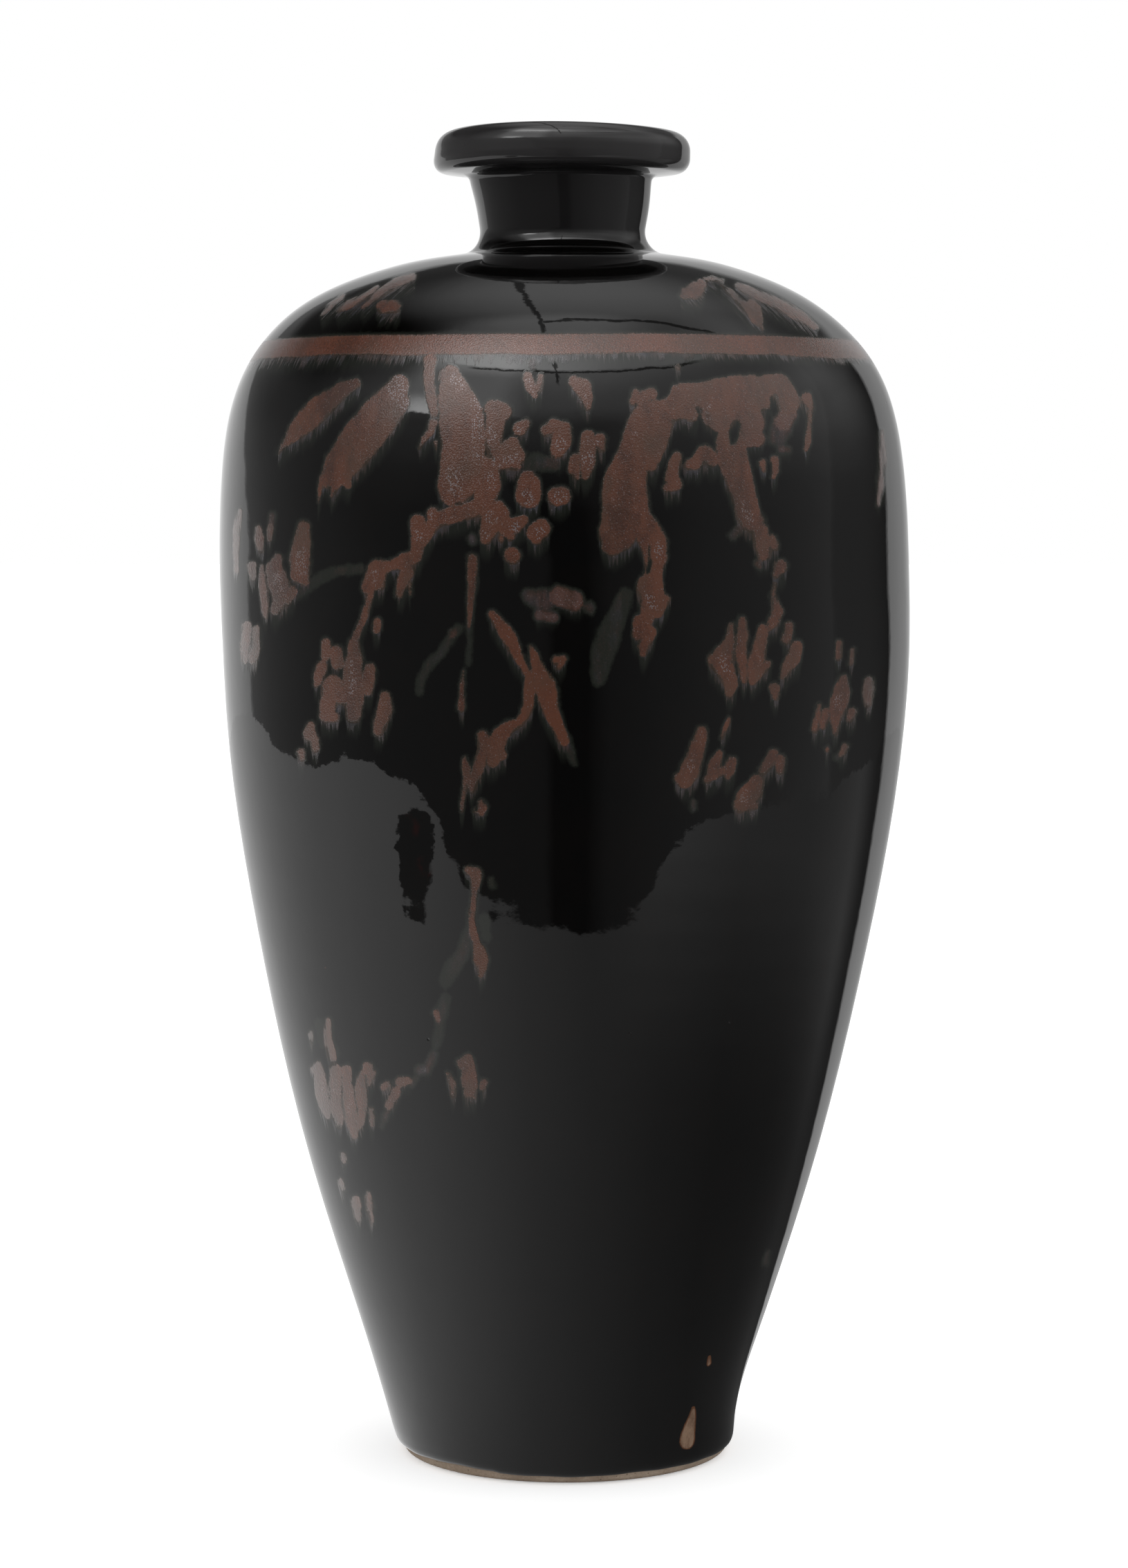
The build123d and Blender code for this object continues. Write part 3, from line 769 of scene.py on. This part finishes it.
class Nodes:  # short hands for building a node tree
    def __init__(self, owner):
        owner.use_nodes = True
        self.owner, self.tree = owner, owner.node_tree
        self.tree.nodes.clear()

    def add(self, kind, inputs=None, **settings):
        node = self.tree.nodes.new(kind)
        for key, value in settings.items():
            setattr(node, key, value)
        for key, value in (inputs or {}).items():
            if isinstance(value, Value):
                self.tree.links.new(value.socket, node.inputs[key])
            else:
                node.inputs[key].default_value = value
        return node

    def out(self, kind, inputs=None, output=0, **settings):  # a new node's output
        return Value(self, self.add(kind, inputs, **settings).outputs[output])

    def sum(self, operation, a, b=0.0):
        return self.out("ShaderNodeMath", {0: a, 1: b}, operation=operation)

    def larger(self, a, b):
        return self.sum("MAXIMUM", a, b)

    def step(self, value, low, high, out=(0.0, 1.0)):  # smooth step between two values
        inputs = {"Value": value, "From Min": low, "From Max": high, "To Min": out[0], "To Max": out[1]}
        return self.out("ShaderNodeMapRange", inputs, interpolation_type="SMOOTHSTEP")

    def span(self, value, start, full, fading, end):  # 1 between two soft edges
        return self.step(value, start, full) * self.step(value, end, fading)

    def mix(self, share, a, b):  # colours
        return self.out("ShaderNodeMix", {0: share, 6: a, 7: b}, 2, data_type="RGBA")

    def blend(self, share, a, b):  # numbers
        return self.out("ShaderNodeMix", {0: share, 2: a, 3: b}, data_type="FLOAT")

    def ramp(self, degrees, stops):  # grey levels by degrees from -180 to 180
        node = self.add("ShaderNodeValToRGB", {0: degrees / 360 + 0.5})
        steps = node.color_ramp.elements
        while len(steps) < len(stops):
            steps.new(0.5)
        for step, (angle, level) in zip(steps, stops):
            step.position = angle / 360 + 0.5
            step.color = (level, level, level, 1)
        return Value(self, node.outputs[0])

    def noise(self, vector, scale, detail, rough, stretch=None):
        if stretch:
            vector = self.out("ShaderNodeMapping", {"Vector": vector, "Scale": stretch})
        return self.out(
            "ShaderNodeTexNoise", {"Vector": vector, "Scale": scale, "Detail": detail, "Roughness": rough}
        )

    def cells(self, vector, scale):  # distance from a cell's middle, and a number of the cell's own
        node = self.add("ShaderNodeTexVoronoi", {"Vector": vector, "Scale": scale})
        away, colour = [Value(self, node.outputs[key]) for key in ("Distance", "Color")]
        return away, self.out("ShaderNodeSeparateColor", {0: colour})

    def parts(self, vector):  # its x, y and z
        return [Value(self, output) for output in self.add("ShaderNodeSeparateXYZ", {0: vector}).outputs]

    def turn(self, x, y):  # degrees round the pot, from the front to the right
        return self.sum("ARCTAN2", x, y * -1.0) * (180 / math.pi)

    def attribute(self, name, output="Fac"):
        return self.out("ShaderNodeAttribute", output=output, attribute_name=name)

    def place(self, kind="Object"):
        return self.out("ShaderNodeTexCoord", output=kind)

    def ray(self, kind):
        return self.out("ShaderNodeLightPath", output=kind)

    def deepRay(self):  # 1 in a reflection of a reflection
        return self.sum("GREATER_THAN", self.ray("Glossy Depth"), 1.5)

    def bump(self, height, strength, distance, normal=None):
        inputs = {"Height": height, "Strength": strength, "Distance": distance}
        return self.out("ShaderNodeBump", {**inputs, "Normal": normal} if normal else inputs)

    def surface(self, inputs):
        shader = self.out("ShaderNodeBsdfPrincipled", inputs)
        self.add("ShaderNodeOutputMaterial", {"Surface": shader})
        return self.owner


glazeLook = {
    "black": (0.0014, 0.0013, 0.0013, 1),
    "thin": (0.0034, 0.0024, 0.0020, 1),
    "neck": (0.0090, 0.0085, 0.0087, 1),    # painted reflection: the glaze is painted lighter and greyer on the neck and lighter still on the lip
    "neckStart": (0.402, 0.409),            # m
    "rim": (0.0220, 0.0210, 0.0214, 1),
    "rimStart": (0.426, 0.431),
    "russet": (0.092, 0.028, 0.012, 1),
    "russetDark": (0.040, 0.012, 0.0055, 1),
    "russetEdge": (0.060, 0.030, 0.017, 1),
    "green": (0.029, 0.025, 0.018, 1),      # where the pigment has sunk into the glaze
    "wash": (0.042, 0.040, 0.050, 1),
    "halo": (0.016, 0.018, 0.014, 1),
    "silver": (0.30, 0.27, 0.28, 1),
    "silverMetal": 0.6,
    "red": (0.012, 0.0015, 0.0012, 1),
    "clay": (0.23, 0.145, 0.092, 1),
    "clayDark": (0.12, 0.062, 0.034, 1),
    "clayRim": (0.11, 0.045, 0.020, 1),
    "clayRough": 0.85,
    "glossy": 0.02,
    "matt": 0.26,
    "bend": 1.5,
    "crystalGloss": 0.14,                   # the skin of tiny crystals on the pigment
    "crystalBend": 1.43,
    "flowNoises": [                         # scale, detail, roughness and how far it is drawn out down the pot
        (1100, 3, 0.65, 0.08), (330, 2, 0.55, 0.16), (210, 4, 0.62, 0.22), (230, 3, 0.6, 0.7),
        (60, 2, 0.5, 0.3),
    ],
    "brokenEdge": (2.6, 1.4, 1.1),          # mm that lumps, broad fibres and grit move a stroke's edge
    "ripples": [                            # scale, roughness, strength and height in m
        (42, 0.4, 0.35, 0.0004), (210, 0.5, 0.16, 0.0001), (950, 0.6, 0.20, 0.00001),
    ],
}
bandLook = {
    **glazeLook,
    "russet": (0.112, 0.031, 0.013, 1),
    "russetDark": (0.050, 0.014, 0.006, 1),
    "matt": 0.32,
}


def makeGlaze(name, look):
    n = Nodes(bpy.data.materials.new(name))
    place, flow = n.place(), n.attribute("flow", "Vector")
    depth, strength, run, ruled = map(n.attribute, ("ironDepth", "ironStrength", "ironRun", "ruled"))
    bare, red, crystal = map(n.attribute, ("bare", "redGlint", "crystal"))

    fibres, broadFibres, streaks, lumps, drift = [
        n.noise(flow, *noise, (1, 1, squeeze)) for *noise, squeeze in look["flowNoises"]
    ]
    grit, cloud = n.noise(place, 1700, 3, 0.65), n.noise(place, 60, 3, 0.55)

    def swing(noise, size):  # a noise moved to swing both ways round nothing
        return (noise - 0.5) * size

    # crisp body of a stroke, its edge broken by the brush; the ruled band stays straight
    byLumps, byFibres, byGrit = look["brokenEdge"]
    edge = (swing(lumps, byLumps) + swing(broadFibres, byFibres)) * (1 - 0.88 * ruled)
    edge = depth + edge + swing(grit, byGrit)
    soft = n.step(strength, 0.85, 0.40)
    body = n.step(edge, -0.22 - 1.3 * soft, 0.42 + 2.2 * soft)
    body *= n.step(strength + swing(streaks, 0.9) + swing(grit, 0.35), 0.15, 0.80)

    # the run below it, drawn out in threads
    threads = n.step(fibres * 0.6 + broadFibres * 0.4, 0.36, 0.62)
    drawn = n.step(run - (0.42 + 0.50 * threads), -0.06, 0.30)
    drawn *= n.step(streaks, 0.30, 0.60, (0.55, 1.0))
    iron = n.larger(body, drawn * 0.8)
    halo = n.step(run + swing(broadFibres, 0.7), 0.12, 0.95) * n.step(threads, 0.0, 1.0, (1.0, 0.6))
    halo = n.larger(halo, n.step(edge, -1.3, 0.2) * 0.8)

    # mottled russet, sunk and greenish in places and at its edge
    mottle = n.blend(ruled, lumps * 0.35 + streaks * 0.30 + grit * 0.35, grit) + swing(drift, 0.5)
    russet = n.mix(n.step(mottle, 0.34, 0.62), look["russetDark"], look["russet"])
    sunk = n.step(streaks + swing(cloud, 0.5) + swing(grit, 0.25), 0.55, 0.72, (0.0, 0.30))
    sunkEdge = n.step(edge + swing(streaks, 0.8), 0.75, -0.1, (0.0, 0.65))
    russet = n.mix(n.larger(sunk * (1 - 0.8 * ruled), sunkEdge), russet, look["green"])
    russet = n.mix(soft * n.step(lumps, 0.35, 0.65, (0.45, 0.95)), russet, look["wash"])
    russet = n.mix(n.step(cloud, 0.40, 0.70, (0.0, 0.4)), russet, look["russetEdge"])

    # silvery crystals in patches, and stray ones; the patch on the larger leaf's top is also a painted
    # highlight
    away, luck = n.cells(place, 1900)
    silver = n.step(away, 0.55, 0.25) * n.step(luck, 0.35, 0.60)
    silver *= n.step(crystal + swing(lumps, 1.3) + swing(grit, 0.7), 0.35, 0.85)
    silver = n.larger(silver, n.step(luck, 0.80, 0.95) * n.step(away, 0.45, 0.2, (0.0, 0.4)))
    russet = n.mix(silver * 0.8, russet, look["silver"])

    level = n.parts(place)[2]
    ground = n.mix(n.step(cloud, 0.3, 0.8, (0.0, 0.35)), look["black"], look["thin"])
    # painted reflection: the glaze is made lighter and greyer up the neck and lighter still on the lip
    ground = n.mix(n.step(level, *look["neckStart"]), ground, look["neck"])
    ground = n.mix(n.step(level, *look["rimStart"]), ground, look["rim"])
    ground = n.mix(halo, ground, look["halo"])
    ground = n.mix(red * n.step(lumps, 0.40, 0.60), ground, look["red"])
    colour = n.mix(iron, ground, russet)

    # bare clay in a burnt rim
    missed = bare + swing(grit, 0.5)
    colour = n.mix(n.step(missed, -0.55, -0.15), colour, look["clayRim"])
    missed = n.step(missed, -0.1, 0.12)
    clay = n.mix(n.step(grit * 0.4 + lumps * 0.6, 0.38, 0.62), look["clay"], look["clayDark"])
    colour = n.mix(missed, colour, clay)

    # small pits
    awayFromPit, pitLuck = n.cells(place, 95)
    pit = n.step(awayFromPit, 0.055, 0.02) * n.step(pitLuck, 0.90, 0.92)

    rough = n.blend(n.step(iron, 0.4, 0.9), look["glossy"], look["matt"]) + n.step(cloud, 0.4, 0.8) * 0.015
    normal = None
    for scale, broken, push, height in look["ripples"]:
        normal = n.bump(n.noise(place, scale, 2, broken), push, height, normal)
    tooth = n.noise(place, 1700, 3, 0.7) * iron - pit * 3.0 - missed * 2.0
    normal = n.bump(tooth, 0.6, 0.00011, normal)
    return n.surface({
        "Base Color": colour,
        "Metallic": silver * iron * look["silverMetal"],
        "Roughness": n.blend(missed, rough, look["clayRough"]),
        "IOR": look["bend"],
        "Normal": normal,
        "Coat Weight": n.step(iron, 0.45, 0.95),
        "Coat Roughness": look["crystalGloss"],
        "Coat IOR": look["crystalBend"],
        "Coat Normal": n.bump(away * iron, 0.8, 0.00014, normal),
    })


clayLook = {
    "light": (0.43, 0.34, 0.26, 1),
    "dark": (0.26, 0.19, 0.135, 1),
    "speck": (0.10, 0.06, 0.04, 1),
    "rough": (0.74, 0.92),
}
slipLook = {**clayLook, "light": (0.4816, 0.3808, 0.2912, 1), "dark": (0.2912, 0.2128, 0.1512, 1)}


def makeClay(name, look):
    n = Nodes(bpy.data.materials.new(name))
    place = n.place()
    cloud, grain = n.noise(place, 55, 4, 0.6), n.noise(place, 1300, 3, 0.6)
    turned = n.noise(place, 700, 2, 0.6, (0.12, 0.12, 1))
    colour = n.mix(n.step(cloud * 0.6 + grain * 0.4, 0.3, 0.7), look["dark"], look["light"])
    colour = n.mix(n.step(n.cells(place, 420)[0], 0.16, 0.08) * 0.8, colour, look["speck"])
    return n.surface({
        "Base Color": colour,
        "Roughness": n.step(grain, 0.2, 0.8, look["rough"]),
        "Normal": n.bump(grain * 0.5 + turned * 0.8, 0.6, 0.0003),
    })


linerLook = {"deep": (0.022, 0.012, 0.008, 1), "thin": (0.075, 0.038, 0.020, 1), "rough": (0.16, 0.28)}


def makeLiner(name, look):
    n = Nodes(bpy.data.materials.new(name))
    place = n.place()
    rings = n.noise(place, 260, 3, 0.55, (0.08, 0.08, 1))
    cloud, grain = n.noise(place, 38, 3, 0.6), n.noise(place, 900, 2, 0.6)
    return n.surface({
        "Base Color": n.mix(n.step(rings * 0.55 + cloud * 0.45, 0.36, 0.68), look["deep"], look["thin"]),
        "Roughness": n.step(grain, 0.3, 0.8, look["rough"]),
        "Normal": n.bump(rings + grain * 0.15, 0.4, 0.0006),
    })


glazeMaterial = makeGlaze("brown_black_glaze", glazeLook)
bandMaterial = makeGlaze("russet_band_glaze", bandLook)
clayMaterial = makeClay("fired_clay", clayLook)
slipMaterial = makeClay("fired_slip", slipLook)
linerMaterial = makeLiner("liner_glaze", linerLook)
print("materials made")

# The outer glaze, in rings

# Length where each ends, mm between its rings of points, steps round, and rows that its bake map is cut into
glazeRings = {
    "foot_glaze": {"end": lengthAt(130), "step": 1.5, "steps": 540, "rows": 2},
    "lower_body_glaze": {"end": lengthAt(235), "step": 1.1, "steps": 720, "rows": 3},
    "middle_body_glaze": {"end": lengthAt(300), "step": 0.8, "steps": 720, "rows": 3},
    "upper_body_glaze": {"end": lengthAt(363.4), "step": 0.8, "steps": 720, "rows": 3},
    "band_glaze": {"end": lengthAt(373), "step": 0.5, "steps": 720, "rows": 8},
    "shoulder_glaze": {"end": rootLength, "step": 0.9, "steps": 720, "rows": 3},
    "lip_glaze": {"end": crestLength, "step": 0.7, "steps": 400, "rows": 2, "backStep": 1.2},
}
gatherFront = 0.45                      # how much closer the steps lie at the front

footRoll = {                            # the glaze rolls over at its lower edge
    "reach": 1.5,
    "bulge": 0.22,
    "fineUpTo": 4,                      # with close rings up to this length, and this far apart
    "fineStep": 0.2,
    "drop": 1.05,                       # and hangs lower on the foot, by an uneven amount
    "sway": 0.55,
    "waves": [(1, 2, 0.4), (0.6, 5, 2.1), (0.35, 11, 0), (0.25, 23, 1)],
    "stepAt": -0.415,                   # with one step near the front, in radians
    "fade": 12.0,
}


def rolledEdge(s, surface, roll):
    near = np.clip(1 - s / roll["reach"], 0, 1)
    depth = pot["outerGlaze"] * (1 - np.sqrt(1 - near ** 2)) * 0.9
    swell = hump(s, roll["bulge"], 1.4 * roll["reach"], roll["reach"]) * np.clip(s, 0, 1)
    return inset(surface, depth - swell)


def hangEdge(places, roll):
    x, y, z = places.T
    angle = np.arctan2(x, -y)
    past = angle - roll["stepAt"]
    step = 0.45 * np.tanh(past / 0.02) * np.exp(-(past / 0.5) ** 2)
    hang = roll["drop"] + roll["sway"] * (0.5 * waves(angle, roll["waves"]) + step)
    return np.column_stack([x, y, z - smoothStep(roll["fade"], pot["glazeEdge"], z) * hang])


def nearestPoint(radius, height, loop):  # which point of the turned loop each vertex came from
    mixing = np.array([7.3, 1000])      # one number for each pair of radius and height
    keys, loopKeys = np.column_stack([radius, height]) @ mixing, loop @ mixing
    order = np.argsort(loopKeys)
    place = np.clip(np.searchsorted(loopKeys[order], keys), 1, len(loop) - 1)
    before, after = order[place - 1], order[place]
    return np.where(np.abs(keys - loopKeys[before]) < np.abs(keys - loopKeys[after]), before, after)


bakeSheet = {"glazeShare": 0.94, "margin": 0.003}


def layOut(piece, columns, points, marks, surfaceCount, ring):  # cut round the ring into rows, and stack them
    corners = np.empty(len(piece.data.loops), int)
    piece.data.loops.foreach_get("vertex_index", corners)
    quads = corners.reshape(-1, 4)
    column, point = columns[quads], points[quads]
    column = np.where((np.ptp(column, axis=1) > 2)[:, None] & (column == 0), ring["steps"], column)
    rimFace = (np.ptp(point, axis=1) > len(marks) / 2)[:, None]
    hiddenPoint = np.where(rimFace & (point == 0), len(marks), point)
    glazed = (point < surfaceCount).all(axis=1)[:, None] & ~rimFace

    wide = ring["steps"] // ring["rows"]
    row = (column.min(axis=1) // wide)[:, None]
    low, high = marks[0], marks[surfaceCount - 1]
    glazeShare, gap = bakeSheet["glazeShare"], bakeSheet["margin"]
    used = 1 - 2 * gap
    share = (marks[point] - low) / (high - low)
    u = gap + used * (column - row * wide) / wide
    v = glazeShare / ring["rows"] * (row + gap + used * share)
    hiddenShare = (hiddenPoint - surfaceCount + 1) / (len(marks) - surfaceCount + 1)
    hiddenU = gap + used * column / ring["steps"]
    hiddenV = glazeShare + gap + (used - glazeShare) * hiddenShare
    places = np.stack([np.where(glazed, u, hiddenU), np.where(glazed, v, hiddenV)], axis=-1)
    layer = piece.data.uv_layers.new(name="OFBake")
    layer.uv.foreach_set("vector", places.ravel())


def makeGlazeRing(name, start, ring):
    rolls = name == "foot_glaze"
    s = outsideMarks(start, ring["end"], ring["step"])
    if rolls:
        fine = np.arange(0, footRoll["fineUpTo"], footRoll["fineStep"])
        s = np.concatenate([fine, s[s > footRoll["fineUpTo"]]])
    surface = pointsAt(outside, s)
    if rolls:
        surface = rolledEdge(s, surface, footRoll)
    back = np.linspace(ring["end"], start, max(3, int((ring["end"] - start) / ring.get("backStep", 5))))
    loop = np.vstack([surface, pointsAt(inset(outside, pot["outerGlaze"]), back)])
    piece = turnedPiece(name, loop, ring["steps"])
    x, y, z = placesOf(piece).T
    radius, angle = np.hypot(x, y), np.arctan2(x, -y)
    marks, points = np.concatenate([s, back]), nearestPoint(radius, z, loop)
    columns = np.rint(angle / (2 * math.pi) * ring["steps"]).astype(int) % ring["steps"]
    layOut(piece, columns, points, marks, len(s), ring)
    angle = angle - gatherFront * np.sin(angle)
    places = np.column_stack([radius * np.sin(angle), -radius * np.cos(angle), z])
    if rolls:
        places = hangEdge(places, footRoll)
    setPlaces(piece, outOfTrue(places))
    paintGlaze(piece, placesOf(piece), marks[points])
    return piece


start = 0.0
for name, ring in glazeRings.items():
    piece = makeGlazeRing(name, start, ring)
    if name == "band_glaze":
        finishPiece(piece, "shoulder_band", bandMaterial)
    else:
        finishPiece(piece, "outer_glaze", glazeMaterial)
    start = ring["end"]

# The inner glaze

innerGlaze = {"step": 2.2, "steps": 256}


def makeInnerGlaze(look):
    surface, covered = insideLine(0), insideLine(pot["innerGlaze"])
    surface[-1][0] = covered[-1][0] = 0
    surface, covered = evened(surface, look["step"]), evened(covered, look["step"] * 2)
    loop = np.vstack([covered[::-1], surface])
    piece = turnedPiece("inner_glaze_coat", loop, look["steps"])
    setPlaces(piece, outOfTrue(placesOf(piece)))
    return piece


finishPiece(makeInnerGlaze(innerGlaze), "inner_glaze", linerMaterial)

# Clay and slip under the glaze

clayPieces = {
    "foot_section": "foot_clay",
    "body_section": "body_clay",
    "shoulder_section": "shoulder_clay",
    "neck": "neck_clay",
    "lower_luting_seam": "lower_slip",
    "upper_luting_seam": "upper_slip",
    "neck_luting_seam": "neck_slip",
}


def copyNode(node, name):  # the node's own solid, merged and leaning with the pot
    piece = bpy.data.objects.new(name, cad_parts[node].data.copy())
    piece.data.name = name
    bpy.context.collection.objects.link(piece)
    pick(piece)
    mergeDoubles(2e-6)
    setPlaces(piece, outOfTrue(placesOf(piece)))
    return piece


for node, name in clayPieces.items():
    if name.endswith("slip"):
        finishPiece(copyNode(node, name), node, slipMaterial)
    else:
        finishPiece(copyNode(node, name), node, clayMaterial)

# Floor and light

studio = {
    "floorSize": 24.0,
    "floorDrop": 0.0003,
    "diffuse": 0.95,
    "floorLift": 0.40,                  # keeps the floor white round the pot's shadow
    "deep": 0.45,                       # how bright the studio is in a reflection of a reflection
    # how bright the studio is at the height of the pot, by degrees from the front
    "horizon": [
        (-180, 0.95), (-137, 0.90), (-129, 0.85), (-127.5, 0.33), (-112, 0.27), (-80, 0.20),
        (-60, 0.14), (-20, 0.11), (-6, 0.10), (-3, 0.03), (7, 0.03), (14, 0.10), (33, 0.16), (50, 0.22),
        (75, 0.27), (97, 0.32), (99, 0.23), (116, 0.15), (134.3, 0.05), (135.8, 0.72), (155, 0.50),
        (166, 0.62), (180, 0.92),
    ],
    # how bright the pale sheet under it is
    "sheet": [
        (-180, 0.80), (-130, 0.85), (-80, 0.96), (-55, 0.86), (-32, 0.66), (-12, 0.46), (10, 0.32),
        (35, 0.20), (60, 0.125), (90, 0.095), (118, 0.09), (134.3, 0.05), (135.8, 0.66), (155, 0.46),
        (166, 0.58), (180, 0.88),
    ],
    # and how far from the pot that sheet reaches, as a share of its longest reach
    "sheetReach": 4.0,                  # m
    "reach": [
        (-180, 0.8), (-130, 0.62), (-112, 0.41), (-90, 0.30), (-76, 0.315), (-66, 0.295), (-57, 0.245),
        (-46, 0.215), (-38, 0.163), (-33, 0.138), (-20, 0.126), (-5, 0.119), (11, 0.118), (26, 0.126),
        (30, 0.143), (34, 0.161), (44, 0.18), (55, 0.195), (77, 0.225), (101, 0.26), (129, 0.41), (150, 0.62),
        (180, 0.8),
    ],
    # a dark patch on the sheet: its middle and half size, in degrees and m
    "blotTurn": (-50, 6.8),
    "blotAway": (0.67, 0.135),
    # soft edges of the lights, in degrees round and up
    "washTurn": (-112, -55, 112, 140),
    "lampTurn": (-74, -56, -27, -10),
    "barRise": (51.5, 53, 64, 76),
    "railTurn": (-46, -40, 60, 70),
    "lamp": (1.1, 2.4),                 # how bright it is low and high, and its heart
    "heart": 3.8,
    "bar": 2.0,
    "over": 0.75,
    "centre": 0.6,
    "hungShade": 0.8,
}


def makeFloor(look):
    bpy.ops.object.select_all(action="DESELECT")
    bpy.ops.mesh.primitive_plane_add(size=look["floorSize"], location=(0, 0, -look["floorDrop"]))
    floor = bpy.context.object
    floor.name = "floor"
    n = Nodes(bpy.data.materials.new("pale_floor"))
    place = n.place()
    x, y, _ = n.parts(place)
    turn = n.turn(x, y)
    away = n.out("ShaderNodeVectorMath", {0: place}, "Value", operation="LENGTH")

    # the pale sheet, with a ragged edge and a dark patch
    reach = n.ramp(turn, look["reach"]) * look["sheetReach"] * (n.noise(place, 14, 3, 0.6) * 0.12 + 0.94)
    across, along = [(value - middle) / half for value, (middle, half) in (
        (turn, look["blotTurn"]), (away, look["blotAway"]))]
    blot = n.sum("SQRT", across * across + along * along) + (n.noise(place, 16, 3, 0.6) - 0.5) * 1.1
    sheet = n.step(reach - away, -0.006, 0.006) * (1 - n.step(blot, 1.06, 0.98))
    brighter = n.step(away, 0.25, 0.75) * n.span(turn, 5, 40, 115, 132) * 1.9 + 1.0
    mirrored = n.blend(sheet, n.ramp(turn, look["horizon"]), n.ramp(turn, look["sheet"]) * brighter)
    mirrored = n.blend(n.deepRay(), mirrored, look["deep"])

    glossy, direct = n.ray("Is Glossy Ray"), n.ray("Is Camera Ray")
    colour = n.mix(direct, n.mix(glossy, (0.8, 0.8, 0.8, 1), (0, 0, 0, 1)), (1, 1, 1, 1))
    level = direct * look["floorLift"] + glossy * mirrored
    glow = n.out("ShaderNodeEmission", {"Color": (1, 1, 1, 1), "Strength": level})
    flat = n.out("ShaderNodeBsdfDiffuse", {"Color": colour})
    n.add("ShaderNodeOutputMaterial", {"Surface": n.out("ShaderNodeAddShader", {0: flat, 1: glow})})
    n.owner.cycles.emission_sampling = "NONE"
    floor.data.materials.append(n.owner)


def makeWorld(look):
    n = Nodes(bpy.data.worlds.new("studio"))
    way = n.place("Generated")
    x, y, z = n.parts(way)
    turn = n.turn(x, y)
    rise = n.sum("ARCSINE", z) * (180 / math.pi)
    high = n.larger(z, 0.05)
    u, v = x / high, y / high           # where the ray meets the ceiling
    ragged = n.noise(way, 9, 4, 0.65) - 0.5

    # the backdrop, whose edges lean with height
    lean = n.larger(rise, 0.0) * n.step(turn, 20, -20, (-0.4, 1.65))
    behind = n.step(abs(turn), 115, 140)
    horizon = n.ramp(turn + lean, look["horizon"]) * (1 - behind * n.step(rise, 22, 28))
    horizon *= n.step(rise, 46, 20)
    horizon *= 1 - 0.3 * n.step(turn, -100, -125) * n.step(rise, 2, 16)
    dim = n.step(x, -0.7, 0.7, (0.03, 0.15)) * behind * n.step(rise, 18, 28)

    # pale wall and ceiling in front and at the right
    wash = n.step(rise, 3, 20) * n.step(turn, 40, 70, (0.22, 0.34))
    wash += n.step(rise, 20, 31) * n.step(turn, 40, 100, (0.40, 0.20))
    wash *= n.span(turn, *look["washTurn"]) * n.step(rise, 70, 52)

    # the main soft light, left of the front
    lamp = n.span(turn, *look["lampTurn"]) * n.step(rise + ragged * 3.0, 24.6, 25.6) * n.step(rise, 66, 58)
    heart = n.step(rise, 34, 26) * n.step(abs(turn + 50), 14, 3)
    lamp *= n.step(rise, 44, 54, look["lamp"]) + heart * look["heart"]

    # the lit ceiling over the front and the dimmer one overhead
    bar = n.span(rise, *look["barRise"]) * n.step(u, -0.85, -0.45) * n.step(u, 0.42, -0.25, (0.25, 1.0))
    bar *= n.step(v, 0.1, -0.3)
    over = n.span(u, -0.62, -0.05, 0.0, 1.1) * n.step(v, 1.5, 0.25) * n.step(rise, 24, 55)
    centre = n.step(abs(u + 0.05), 0.45, 0.15) * n.step(abs(v + 0.1), 0.3, 0.1)
    glow = horizon + dim + wash + lamp + bar * look["bar"] + over * look["over"] + centre * look["centre"]

    # a cable, a strut and a rail hang dark under the ceiling
    cable = abs(v * 0.04 + 0.072 + ragged * 0.045 + u)
    cable = n.step(cable, 0.014, 0.006) * n.step(rise, 40, 45)
    strut = abs(v - u * 0.3 - ragged * 0.12 - 0.02)
    strut = n.step(strut, 0.030, 0.012) * n.span(u, -0.08, -0.05, 0.6, 0.8) * n.step(rise, 45, 50)
    rail = n.step(abs(rise + ragged * 2.5 - 51.0), 0.9, 0.4) * n.span(turn, *look["railTurn"])
    glow *= 1 - n.larger(n.larger(cable, strut), rail) * look["hungShade"]

    glow = n.larger(glow, n.deepRay() * look["deep"])
    level = n.blend(n.ray("Is Glossy Ray"), look["diffuse"], glow)
    level = n.blend(n.ray("Is Camera Ray"), level, 1.0)
    back = n.out("ShaderNodeBackground", {"Color": (1, 1, 1, 1), "Strength": level})
    n.add("ShaderNodeOutputWorld", {"Surface": back})
    n.owner.cycles.sampling_method = "NONE"
    bpy.context.scene.world = n.owner


makeFloor(studio)
makeWorld(studio)
print("studio set")

print("done")
